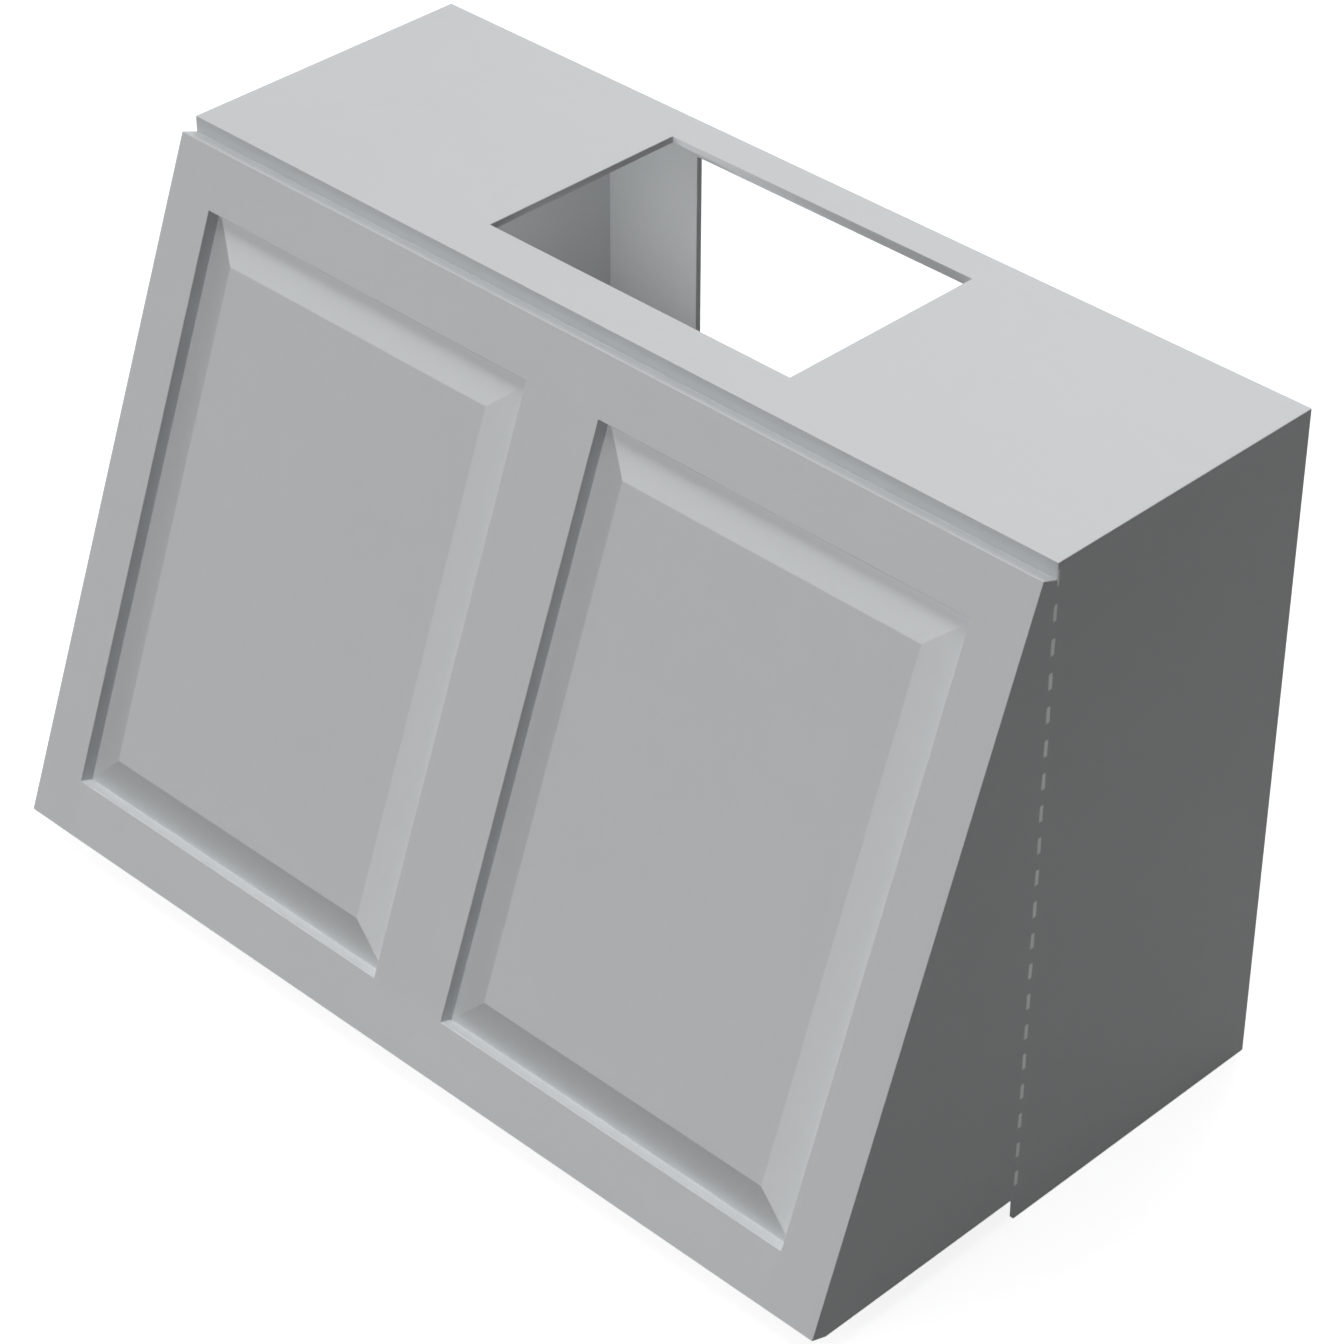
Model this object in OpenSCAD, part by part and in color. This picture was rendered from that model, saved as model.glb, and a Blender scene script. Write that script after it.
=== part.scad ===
// Wooden range hood cover: a wall box with a duct cut-out and a sloping front with two raised panels.
// Millimetres. X runs across the front, +Y runs back to the wall and +Z runs up.
// The origin is under the middle of the whole cover, at the height of the box's lower rim.

/* [Wall box] */
// Width of the box and of the sloping front
box_w = 914.4; // [820:0.1:1220]
// Height of the box
box_h = 609.6; // [520:0.1:760]
// Depth of the box, from the wall to its front plane
box_d = 282.6; // [276:0.1:360]
// Thickness of the sides, partitions, rails and returns
board_t = 19; // [16:0.1:22]
// Thickness of the top panel
top_t = 6; // [4:0.1:12]
// Thickness of the back panel
back_t = 6; // [4:0.1:9]
// Thickness of the bottom panel
bottom_t = 12; // [9:0.1:16]
// Height of the rim below the bottom panel and the wedge
rim_h = 21.4; // [15:0.1:26]
// Thickness that the sides keep at their toe, where the rim is open below the wedge
toe_t = 4; // [2:0.1:10]
// How far short of the front rails' backs that open stretch stops
toe_stop = 1; // [0.5:0.1:4]
// Height of the front top rail, and of the front bottom rail's upper edge
front_rail_h = 76; // [72:0.1:110]
// Width of the two stiles at the front of the box
front_stile_w = 45; // [30:0.1:80]
// Height of the three hanging rails at the back of the box
hanging_rail_h = 76; // [60:0.1:110]

/* [Duct and insert openings] */
// Width of the duct cut-out and of the opening in the back
duct_w = 319; // [250:0.1:400]
// Strip of top panel in front of the duct cut-out
duct_front_strip = 46.2; // [30:0.1:80]
// Strip of top panel behind the duct cut-out
duct_back_strip = 34.4; // [28:0.1:60]
// Height of the opening in the back panel
back_opening_h = 280; // [200:0.1:340]
// Strip of back panel above its opening
back_top_strip = 24; // [16:0.1:40]
// Clear width between the partitions, filled by a ventilation insert
insert_w = 520.7; // [430:0.1:600]
// Strip of bottom panel in front of the insert cut-out
insert_front_strip = 17.6; // [10:0.1:50]
// Strip of bottom panel behind the insert cut-out
insert_back_strip = 25; // [23:0.1:50]

/* [Sloping front] */
// How far the foot of the slope stands out in front of the box
lean = 212.7; // [150:0.1:260]
// Strip of box front left bare above the fascia
reveal_h = 14; // [8:0.1:30]
// Thickness of the wedge's bottom board
soffit_t = 19; // [15:0.1:22]
// Thickness of the cleats inside the wedge
cleat_t = 19; // [16:0.1:24]
// Depth of the upright mounting cleats
mounting_cleat_d = 30; // [24:0.1:40]
// Leg of the glue blocks behind the fascia
glue_block_leg = 25; // [15:0.1:32]
// Length of one glue block
glue_block_l = 60; // [30:0.1:90]
// Number of glue blocks
glue_blocks = 5; // [2:1:7]

/* [Fascia frame] */
// Thickness of the fascia frame
frame_t = 22.2; // [20:0.1:25]
// How much of that thickness stands in front of the slope line
frame_stand_out = 15.9; // [13:0.1:18]
// Width of the left and right stiles
fascia_stile_w = 49.2; // [45:0.1:80]
// Width of the middle stile
mullion_w = 78; // [50:0.1:110]
// Width of the top and bottom rails
fascia_rail_w = 50; // [45:0.1:80]

/* [Raised panels] */
// Depth of the recess round a raised panel, below the frame's face
recess_d = 12.7; // [9:0.1:14]
// How far a panel's field lies below the frame's face
field_drop = 2.6; // [0.5:0.1:4]
// Width of the bevels round a panel's field
bevel_w = 35.2; // [20:0.1:60]
// Thickness of a panel's tongue
tongue_t = 4.8; // [4:0.1:6]
// Length of a panel's tongue inside the groove
tongue_l = 8; // [5:0.1:9]
// Depth of the grooves in the fascia frame
groove_d = 10; // [9.5:0.1:12]

/* [Joinery] */
// Width of the rebate for the back panel
rebate_w = 10; // [8:0.1:12]
// Depth of the side grooves that hold the bottom panel
dado_d = 6; // [3:0.1:9]
// Radius of a dowel
dowel_r = 4; // [3:0.1:5]
// Length of a dowel
dowel_l = 30; // [24:0.1:34]
// Depth of a dowel in the face of a board
dowel_face_depth = 12; // [8:0.1:13]
// Distance between the two dowels in a rail's end
dowel_spacing = 40; // [24:0.1:44]
// Length of a soft spacer in a panel groove
spacer_l = 20; // [10:0.1:40]

/* [Screws] */
// Radius of a screw's shank
screw_r = 2; // [1.5:0.1:2.5]
// Radius of a screw's head
screw_head_r = 4; // [3:0.1:4.5]
// Length of a fixing screw
screw_l = 30; // [26:0.1:32]
// Radius of a back panel screw's shank
back_screw_r = 1.5; // [1:0.1:1.8]
// Radius of a back panel screw's head
back_screw_head_r = 3; // [2.2:0.1:3.5]
// Length of a back panel screw
back_screw_l = 16; // [12:0.1:20]
// Radius of a wall screw's hole
wall_hole_r = 2.75; // [2:0.05:4]
// Distance from the outer side of the box to a wall screw
wall_hole_inset = 50.8; // [45:0.1:60]

/* [Hidden] */

paint = "lightgray";
bare_wood = "burlywood";
zinc = "silver";
soft = "dimgray";

cut_over = 1;
round_sides = 32;
screw_tip_l = 4;
screw_tip_share = 0.25;
screw_gap = 0.05;
spacer_height_shares = [0.25, 0.75];
upright_screw_shares = [0.12, 0.5, 0.88];
long_screw_shares = [-0.42, -0.14, 0.14, 0.42];
back_side_screw_shares = [0.1, 0.5, 0.9];
back_partition_screw_shares = [0.5];
partition_screw_shares = [0.15, 0.5, 0.85];
return_dowel_shares = [0.12, 0.42, 0.72];

// Slope of the front
half_w = box_w / 2;
inner_x = half_w - board_t;
slope_rise = box_h - reveal_h - rim_h;
slope_l = sqrt(lean * lean + slope_rise * slope_rise);
slope_a = atan2(lean, slope_rise);

// Planes from front to back
total_d = box_d + lean + frame_stand_out * cos(slope_a);
wall_y = total_d / 2;
back_y = wall_y - back_t;
front_y = wall_y - box_d;
rail_back_y = front_y + board_t;
foot_y = front_y - lean;

// Heights in the box
under_top_z = box_h - top_t;
floor_z = rim_h + bottom_t;
front_top_rail_z = under_top_z - front_rail_h;
upper_hanging_z = under_top_z - hanging_rail_h;
front_bottom_rail_h = front_rail_h - rim_h;
lower_hanging_z = floor_z;
lower_hanging_mid_z = lower_hanging_z + hanging_rail_h / 2;
upper_hanging_mid_z = upper_hanging_z + hanging_rail_h / 2;
hanging_mids = [lower_hanging_mid_z, upper_hanging_mid_z];
back_opening_top_z = under_top_z - back_top_strip;
back_opening_z = back_opening_top_z - back_opening_h;

// Places across the box
partition_in_x = insert_w / 2;
partition_out_x = partition_in_x + board_t;
wall_hole_x = half_w - wall_hole_inset;
rebate_x = inner_x + rebate_w;
insert_back_y = back_y - insert_back_strip;
insert_front_y = rail_back_y + insert_front_strip;
duct_back_y = wall_y - duct_back_strip;
duct_front_y = front_y + duct_front_strip;

// Levels through the fascia, measured outwards from the slope line
face_n = frame_stand_out;
back_n = face_n - frame_t;
field_n = face_n - field_drop;
tongue_front_n = face_n - recess_d;
tongue_back_n = tongue_front_n - tongue_t;

// Places on the fascia
fascia_in_x = half_w - fascia_stile_w;
mullion_x = mullion_w / 2;
opening_s = fascia_rail_w;
opening_top_s = slope_l - fascia_rail_w;

// Where the fascia's back meets the soffit's underside and the box's front
fascia_back_foot_y = foot_y - back_n / cos(slope_a);
plumb_cut_h = -back_n / sin(slope_a);
return_top_z = box_h - reveal_h - plumb_cut_h;

// Inside the wedge
soffit_top_z = rim_h + soffit_t;
mounting_cleat_y = front_y - mounting_cleat_d;
mounting_cleat_top_z = return_top_z - mounting_cleat_d / tan(slope_a);
mounting_cleat_h = mounting_cleat_top_z - soffit_top_z;
cleat_x = inner_x - cleat_t;
fascia_cleat_n = back_n - cleat_t;
fascia_cleat_s = (soffit_t - fascia_cleat_n * sin(slope_a)) / cos(slope_a);
fascia_cleat_top_s = (lean - mounting_cleat_d + fascia_cleat_n * cos(slope_a)) / sin(slope_a);
fascia_cleat_l = fascia_cleat_top_s - fascia_cleat_s;
glue_span = 2 * (cleat_x - glue_block_l);

// Screw rows
bottom_screw_z = soffit_top_z + cleat_t / 2;
top_screw_z = return_top_z + plumb_cut_h / 2;
rebate_screw_x = inner_x + rebate_w / 2;
partition_mid_x = partition_in_x + board_t / 2;
partition_l = back_y - rail_back_y;

echo(total_depth = total_d, wall_y = wall_y, front_y = front_y);
echo(slope_angle = slope_a, slope_length = slope_l, return_top_z = return_top_z);
echo(wall_hole_x = wall_hole_x, wall_hole_heights = hanging_mids);

// A box between two opposite corners
module block(low, high) {
    translate(low)
        cube(high - low);
}

// A flat shape drawn as Y and Z points, extruded along X
module across(x_low, x_high, points) {
    translate([x_low, 0, 0])
        rotate([90, 0, 90])
            linear_extrude(x_high - x_low)
                polygon(points);
}

// Moves a shape to the right side, or mirrors it to the left one
module on_side(side) {
    if (side < 0)
        mirror([1, 0, 0])
            children();
    else
        children();
}

module on_both_sides() {
    for (side = [-1, 1])
        on_side(side)
            children();
}

// Puts X, slope length and outward distance on the sloping front
module on_slope() {
    translate([0, foot_y, rim_h])
        rotate([90 - slope_a, 0, 0])
            children();
}

// The fascia's outline from the side, cut level at its foot and plumb against the box
module slab_envelope() {
    across(-half_w, half_w, [
        [0, 0],
        [0, face_n],
        [slope_l, face_n],
        [slope_l, 0],
        [slope_l + back_n / tan(slope_a), back_n],
        [-back_n * tan(slope_a), back_n]
    ]);
}

// A countersunk screw with its head's top at the origin, pointing along +Z
module screw(shank_r, head_r, length) {
    rotate_extrude($fn = round_sides)
        polygon([
            [0, 0],
            [head_r, 0],
            [shank_r, head_r - shank_r],
            [shank_r, length - screw_tip_l],
            [shank_r * screw_tip_share, length],
            [0, length]
        ]);
}

// The hole for such a screw, its countersink carried on past the face that the head lies in
module screw_hole(shank_r, head_r, length) {
    rotate_extrude($fn = round_sides)
        polygon([
            [0, -cut_over],
            [head_r + screw_gap + cut_over, -cut_over],
            [shank_r + screw_gap, head_r - shank_r],
            [shank_r + screw_gap, length - screw_tip_l],
            [shank_r * screw_tip_share + screw_gap, length],
            [0, length]
        ]);
}

module fixing_screw() {
    screw(screw_r, screw_head_r, screw_l);
}

module fixing_screw_hole() {
    screw_hole(screw_r, screw_head_r, screw_l);
}

module back_screw() {
    screw(back_screw_r, back_screw_head_r, back_screw_l);
}

module back_screw_hole() {
    screw_hole(back_screw_r, back_screw_head_r, back_screw_l);
}

module dowel() {
    cylinder(h = dowel_l, r = dowel_r, $fn = round_sides);
}

// Screws from inside the box, forwards into the wedge
module wedge_screw_places() {
    for (share = upright_screw_shares)
        on_both_sides()
            translate([inner_x - cleat_t / 2, rail_back_y, soffit_top_z + share * mounting_cleat_h])
                rotate([90, 0, 0])
                    children();
    for (share = long_screw_shares, z = [bottom_screw_z, top_screw_z])
        translate([2 * share * cleat_x, rail_back_y, z])
            rotate([90, 0, 0])
                children();
}

// Screws through the fascia cleats into the backs of the stiles
module fascia_screw_places() {
    on_slope()
        for (share = upright_screw_shares)
            on_both_sides()
                translate([inner_x - cleat_t / 2, fascia_cleat_s + share * fascia_cleat_l, fascia_cleat_n])
                    children();
}

// Screws up through the bottom panel into the partitions
module partition_screw_places() {
    for (share = partition_screw_shares)
        on_both_sides()
            translate([partition_mid_x, rail_back_y + share * partition_l, rim_h])
                children();
}

// Screws through the back panel into the sides and partitions
module back_screw_column(x, shares) {
    low_z = lower_hanging_z + hanging_rail_h;
    free_h = upper_hanging_z - low_z;
    for (z = concat(hanging_mids, [for (share = shares) low_z + share * free_h]))
        translate([x, wall_y, z])
            rotate([90, 0, 0])
                children();
}

module back_screw_places() {
    on_both_sides() {
        back_screw_column(rebate_screw_x, back_side_screw_shares)
            children();
        back_screw_column(partition_mid_x, back_partition_screw_shares)
            children();
    }
}

// Dowels across the joint at X, two in the end of one rail
module dowel_pair(x, y, rail_mid_z) {
    for (step = [-1, 1])
        translate([x, y, rail_mid_z + step * dowel_spacing / 2])
            rotate([0, -90, 0])
                children();
}

module rail_dowel_places() {
    side_x = inner_x + dowel_face_depth;
    front_mid_y = front_y + board_t / 2;
    hanging_mid_y = back_y - board_t / 2;
    on_both_sides() {
        dowel_pair(side_x, front_mid_y, rim_h + front_bottom_rail_h / 2)
            children();
        dowel_pair(side_x, front_mid_y, front_top_rail_z + front_rail_h / 2)
            children();
        for (mid_z = hanging_mids)
            dowel_pair(side_x, hanging_mid_y, mid_z)
                children();
        dowel_pair(partition_out_x - dowel_face_depth + dowel_l, hanging_mid_y, upper_hanging_mid_z)
            children();
    }
}

// Dowels that keep the returns flush with the box sides
module return_dowel_places() {
    for (share = return_dowel_shares)
        on_both_sides()
            translate([half_w - board_t / 2, front_y - dowel_l / 2, soffit_top_z + share * mounting_cleat_h])
                rotate([-90, 0, 0])
                    children();
}

module wall_hole_places() {
    for (z = hanging_mids)
        on_both_sides()
            translate([wall_hole_x, wall_y + cut_over, z])
                rotate([90, 0, 0])
                    children();
}

module wall_holes() {
    wall_hole_places()
        cylinder(h = back_t + board_t + 2 * cut_over, r = wall_hole_r, $fn = round_sides);
}

// The four faces of the box
module side_panel() {
    difference() {
        block([inner_x, front_y, 0], [half_w, wall_y, under_top_z]);
        block([inner_x - cut_over, back_y, -cut_over],
              [rebate_x, wall_y + cut_over, under_top_z + cut_over]);
        block([inner_x - cut_over, front_y - cut_over, -cut_over],
              [half_w - toe_t, rail_back_y - toe_stop, rim_h]);
        block([inner_x - cut_over, rail_back_y, rim_h], [inner_x + dado_d, back_y, floor_z]);
        rail_dowel_places()
            dowel();
        return_dowel_places()
            dowel();
        back_screw_places()
            back_screw_hole();
    }
}

module left_side_panel() {
    color(paint)
        on_side(-1)
            side_panel();
}

module right_side_panel() {
    color(paint)
        side_panel();
}

module top_panel() {
    color(paint)
        difference() {
            block([-half_w, front_y, under_top_z], [half_w, wall_y, box_h]);
            block([-duct_w / 2, duct_front_y, under_top_z - cut_over],
                  [duct_w / 2, duct_back_y, box_h + cut_over]);
        }
}

module bottom_panel() {
    dado_x = inner_x + dado_d;
    color(paint)
        difference() {
            block([-dado_x, rail_back_y, rim_h], [dado_x, back_y, floor_z]);
            block([-partition_in_x, insert_front_y, rim_h - cut_over],
                  [partition_in_x, insert_back_y, floor_z + cut_over]);
            partition_screw_places()
                fixing_screw_hole();
        }
}

module back_panel() {
    color(paint)
        difference() {
            block([-rebate_x, back_y, 0], [rebate_x, wall_y, under_top_z]);
            block([-duct_w / 2, back_y - cut_over, back_opening_z],
                  [duct_w / 2, wall_y + cut_over, back_opening_top_z]);
            back_screw_places()
                back_screw_hole();
            wall_holes();
        }
}

// Partitions, notched over the lower hanging rail
module partition() {
    difference() {
        block([partition_in_x, rail_back_y, floor_z], [partition_out_x, back_y, under_top_z]);
        block([partition_in_x - cut_over, back_y - board_t, floor_z - cut_over],
              [partition_out_x + cut_over, back_y + cut_over, lower_hanging_z + hanging_rail_h]);
        rail_dowel_places()
            dowel();
        partition_screw_places()
            fixing_screw_hole();
        back_screw_places()
            back_screw_hole();
    }
}

module left_partition() {
    color(paint)
        on_side(-1)
            partition();
}

module right_partition() {
    color(paint)
        partition();
}

// Frame at the front of the box
module front_rail(z_low, height) {
    difference() {
        block([-inner_x, front_y, z_low], [inner_x, rail_back_y, z_low + height]);
        rail_dowel_places()
            dowel();
        wedge_screw_places()
            fixing_screw_hole();
    }
}

module front_top_rail() {
    color(paint)
        front_rail(front_top_rail_z, front_rail_h);
}

module front_bottom_rail() {
    color(paint)
        front_rail(rim_h, front_bottom_rail_h);
}

module front_stile() {
    difference() {
        block([inner_x - front_stile_w, front_y, front_rail_h],
              [inner_x, rail_back_y, front_top_rail_z]);
        wedge_screw_places()
            fixing_screw_hole();
    }
}

module front_left_stile() {
    color(paint)
        on_side(-1)
            front_stile();
}

module front_right_stile() {
    color(paint)
        front_stile();
}

// Rails that take the wall screws
module side_bay_hanging_rail() {
    difference() {
        block([partition_out_x, back_y - board_t, upper_hanging_z], [inner_x, back_y, under_top_z]);
        rail_dowel_places()
            dowel();
        wall_holes();
    }
}

module left_hanging_rail() {
    color(bare_wood)
        on_side(-1)
            side_bay_hanging_rail();
}

module right_hanging_rail() {
    color(bare_wood)
        side_bay_hanging_rail();
}

module lower_hanging_rail() {
    color(bare_wood)
        difference() {
            block([-inner_x, back_y - board_t, lower_hanging_z],
                  [inner_x, back_y, lower_hanging_z + hanging_rail_h]);
            rail_dowel_places()
                dowel();
            wall_holes();
            back_screw_places()
                back_screw_hole();
        }
}

// Sides and bottom of the wedge
module wedge_return() {
    difference() {
        across(inner_x, half_w, [
            [front_y, rim_h],
            [front_y, return_top_z],
            [fascia_back_foot_y, rim_h]
        ]);
        return_dowel_places()
            dowel();
    }
}

module left_return() {
    color(paint)
        on_side(-1)
            wedge_return();
}

module right_return() {
    color(paint)
        wedge_return();
}

module soffit() {
    color(paint)
        across(-inner_x, inner_x, [
            [front_y, rim_h],
            [front_y, soffit_top_z],
            [fascia_back_foot_y + soffit_t * tan(slope_a), soffit_top_z],
            [fascia_back_foot_y, rim_h]
        ]);
}

// Cleats that fasten the wedge to the box
module soffit_cleat() {
    color(bare_wood)
        difference() {
            block([-cleat_x, front_y - cleat_t, soffit_top_z], [cleat_x, front_y, soffit_top_z + cleat_t]);
            wedge_screw_places()
                fixing_screw_hole();
        }
}

module mounting_cleat() {
    difference() {
        block([cleat_x, mounting_cleat_y, soffit_top_z], [inner_x, front_y, mounting_cleat_top_z]);
        wedge_screw_places()
            fixing_screw_hole();
    }
}

module left_mounting_cleat() {
    color(bare_wood)
        on_side(-1)
            mounting_cleat();
}

module right_mounting_cleat() {
    color(bare_wood)
        mounting_cleat();
}

// Cleats and glue blocks that hold the fascia
module fascia_cleat() {
    difference() {
        on_slope()
            block([cleat_x, fascia_cleat_s, fascia_cleat_n], [inner_x, fascia_cleat_top_s, back_n]);
        fascia_screw_places()
            fixing_screw_hole();
    }
}

module left_fascia_cleat() {
    color(bare_wood)
        on_side(-1)
            fascia_cleat();
}

module right_fascia_cleat() {
    color(bare_wood)
        fascia_cleat();
}

module glue_block_row() {
    corner_y = fascia_back_foot_y + soffit_t * tan(slope_a);
    color(bare_wood)
        for (i = [0 : glue_blocks - 1])
            let (mid_x = glue_span * (i / (glue_blocks - 1) - 1 / 2))
                across(mid_x - glue_block_l / 2, mid_x + glue_block_l / 2, [
                    [corner_y, soffit_top_z],
                    [corner_y + glue_block_leg, soffit_top_z],
                    [corner_y + glue_block_leg * sin(slope_a), soffit_top_z + glue_block_leg * cos(slope_a)]
                ]);
}

// Fascia frame, with grooves all round its two openings
module groove(x_low, x_high, s_low, s_high) {
    block([x_low, s_low, tongue_back_n], [x_high, s_high, tongue_front_n]);
}

module fascia_stile() {
    difference() {
        on_slope()
            intersection() {
                slab_envelope();
                difference() {
                    block([fascia_in_x, -cut_over, back_n], [half_w, slope_l + cut_over, face_n]);
                    groove(fascia_in_x - cut_over, fascia_in_x + groove_d,
                           -2 * cut_over, slope_l + 2 * cut_over);
                }
            }
        fascia_screw_places()
            fixing_screw_hole();
    }
}

module fascia_left_stile() {
    color(paint)
        on_side(-1)
            fascia_stile();
}

module fascia_right_stile() {
    color(paint)
        fascia_stile();
}

// A rail from its outer edge to its grooved edge, with a stub tenon at each end
module fascia_rail(outer_s, grooved_s) {
    grooved_in_s = grooved_s + sign(outer_s - grooved_s) * groove_d;
    past_outer_s = outer_s + sign(outer_s - grooved_s) * cut_over;
    past_edge_s = grooved_s - sign(outer_s - grooved_s) * cut_over;
    tenon_x = fascia_in_x + groove_d;
    on_slope()
        intersection() {
            slab_envelope();
            union() {
                difference() {
                    block([-fascia_in_x, min(past_outer_s, grooved_s), back_n],
                          [fascia_in_x, max(past_outer_s, grooved_s), face_n]);
                    groove(-fascia_in_x - cut_over, fascia_in_x + cut_over,
                           min(grooved_in_s, past_edge_s), max(grooved_in_s, past_edge_s));
                }
                groove(-tenon_x, tenon_x, min(past_outer_s, grooved_in_s), max(past_outer_s, grooved_in_s));
            }
        }
}

module fascia_top_rail() {
    color(paint)
        difference() {
            fascia_rail(slope_l, opening_top_s);
            wedge_screw_places()
                fixing_screw_hole();
        }
}

module fascia_bottom_rail() {
    color(paint)
        fascia_rail(0, opening_s);
}

module fascia_mullion() {
    core_x = mullion_x - groove_d;
    color(paint)
        on_slope() {
            difference() {
                block([-mullion_x, opening_s, back_n], [mullion_x, opening_top_s, face_n]);
                for (side = [-1, 1])
                    groove(min(side * core_x, side * (mullion_x + cut_over)),
                           max(side * core_x, side * (mullion_x + cut_over)),
                           opening_s - cut_over, opening_top_s + cut_over);
            }
            groove(-core_x, core_x, opening_s - groove_d, opening_top_s + groove_d);
        }
}

// A raised panel: a tongue all round, then bevels that rise to a flat field
module raised_panel() {
    low_x = mullion_x;
    high_x = fascia_in_x;
    on_slope() {
        groove(low_x - tongue_l, high_x + tongue_l, opening_s - tongue_l, opening_top_s + tongue_l);
        intersection() {
            across(low_x, high_x, [
                [opening_s, tongue_back_n],
                [opening_s, tongue_front_n],
                [opening_s + bevel_w, field_n],
                [opening_top_s - bevel_w, field_n],
                [opening_top_s, tongue_front_n],
                [opening_top_s, tongue_back_n]
            ]);
            translate([0, opening_top_s, 0])
                rotate([90, 0, 0])
                    linear_extrude(opening_top_s - opening_s)
                        polygon([
                            [low_x, tongue_back_n],
                            [low_x, tongue_front_n],
                            [low_x + bevel_w, field_n],
                            [high_x - bevel_w, field_n],
                            [high_x, tongue_front_n],
                            [high_x, tongue_back_n]
                        ]);
        }
    }
}

module left_raised_panel() {
    color(paint)
        on_side(-1)
            raised_panel();
}

module right_raised_panel() {
    color(paint)
        raised_panel();
}

// Soft spacers between a panel's edge and the bottom of its groove
module panel_spacers() {
    opening_l = opening_top_s - opening_s;
    color(soft)
        on_slope()
            for (share = spacer_height_shares)
                on_both_sides() {
                    mid_s = opening_s + share * opening_l;
                    groove(fascia_in_x + tongue_l, fascia_in_x + groove_d,
                           mid_s - spacer_l / 2, mid_s + spacer_l / 2);
                    groove(mullion_x - groove_d, mullion_x - tongue_l,
                           mid_s - spacer_l / 2, mid_s + spacer_l / 2);
                }
}

// Dowels and screws
module rail_dowels() {
    color(bare_wood)
        rail_dowel_places()
            dowel();
}

module return_dowels() {
    color(bare_wood)
        return_dowel_places()
            dowel();
}

module partition_screws() {
    color(zinc)
        partition_screw_places()
            fixing_screw();
}

module wedge_screws() {
    color(zinc)
        wedge_screw_places()
            fixing_screw();
}

module fascia_screws() {
    color(zinc)
        fascia_screw_places()
            fixing_screw();
}

module back_panel_screws() {
    color(zinc)
        back_screw_places()
            back_screw();
}

left_side_panel();
right_side_panel();
top_panel();
bottom_panel();
back_panel();
left_partition();
right_partition();
front_top_rail();
front_bottom_rail();
front_left_stile();
front_right_stile();
left_hanging_rail();
right_hanging_rail();
lower_hanging_rail();
left_return();
right_return();
soffit();
soffit_cleat();
left_mounting_cleat();
right_mounting_cleat();
left_fascia_cleat();
right_fascia_cleat();
glue_block_row();
fascia_left_stile();
fascia_right_stile();
fascia_mullion();
fascia_top_rail();
fascia_bottom_rail();
left_raised_panel();
right_raised_panel();
panel_spacers();
rail_dowels();
return_dowels();
partition_screws();
wedge_screws();
fascia_screws();
back_panel_screws();
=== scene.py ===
import math
import random

import bmesh
import bpy
from mathutils import Matrix, Vector
from mathutils.bvhtree import BVHTree
from mathutils.geometry import delaunay_2d_cdt


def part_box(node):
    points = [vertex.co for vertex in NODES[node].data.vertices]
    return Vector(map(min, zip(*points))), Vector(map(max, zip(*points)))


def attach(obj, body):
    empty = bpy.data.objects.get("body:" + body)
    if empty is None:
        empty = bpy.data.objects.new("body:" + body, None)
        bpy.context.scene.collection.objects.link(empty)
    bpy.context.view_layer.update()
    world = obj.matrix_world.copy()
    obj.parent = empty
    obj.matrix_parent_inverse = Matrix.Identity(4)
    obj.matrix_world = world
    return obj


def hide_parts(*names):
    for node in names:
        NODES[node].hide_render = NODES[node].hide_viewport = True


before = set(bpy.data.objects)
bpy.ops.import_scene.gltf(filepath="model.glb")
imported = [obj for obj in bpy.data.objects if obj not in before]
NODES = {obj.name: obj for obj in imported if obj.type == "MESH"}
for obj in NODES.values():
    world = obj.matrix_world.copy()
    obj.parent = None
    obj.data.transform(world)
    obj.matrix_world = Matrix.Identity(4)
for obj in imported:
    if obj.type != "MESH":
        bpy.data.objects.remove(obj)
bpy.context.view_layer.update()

MM = 0.001

# Sizes that part.scad has too. Those of the screws and the dowels are radii.
BOX_HEIGHT = 609.6 * MM
HALF_WIDTH = 457.2 * MM
LEAN = 212.7 * MM
REVEAL = 14.0 * MM
WEDGE_FOOT = 21.4 * MM
BOX_FRONT_Y = -27.495 * MM
FIXING_SCREW = {"shank": 2 * MM, "head": 4 * MM}
BACK_SCREW = {"shank": 1.5 * MM, "head": 3 * MM}
DOWEL = {"radius": 4 * MM}
SLOPE = math.atan2(LEAN, BOX_HEIGHT - REVEAL - WEDGE_FOOT)

# ---------------------------------------------------------------- the camera
# The place, the angles and the lens come from a least squares fit to the photo's corners.
CAMERA_PLACE = (1.97957, -1.96340, 2.26362)
CAMERA_ANGLES = (54.298, 0.0, 44.971)
CAMERA_LENS = 115.011
CAMERA_SENSOR = 36.0
CAMERA_SHIFT = (0.02747, 0.00983)
CAMERA_REACH = (0.05, 60.0)


def placed(name, data, place, angles):
    """A camera or a lamp in the scene."""
    made = bpy.data.objects.new(name, data)
    bpy.context.scene.collection.objects.link(made)
    made.location, made.rotation_euler = place, angles
    return made


def make_camera():
    data = bpy.data.cameras.new("camera")
    data.sensor_width = CAMERA_SENSOR
    data.lens = CAMERA_LENS
    data.shift_x, data.shift_y = CAMERA_SHIFT
    data.clip_start, data.clip_end = CAMERA_REACH
    angles = [math.radians(a) for a in CAMERA_ANGLES]
    bpy.context.scene.camera = placed("camera", data, CAMERA_PLACE, angles)


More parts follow.
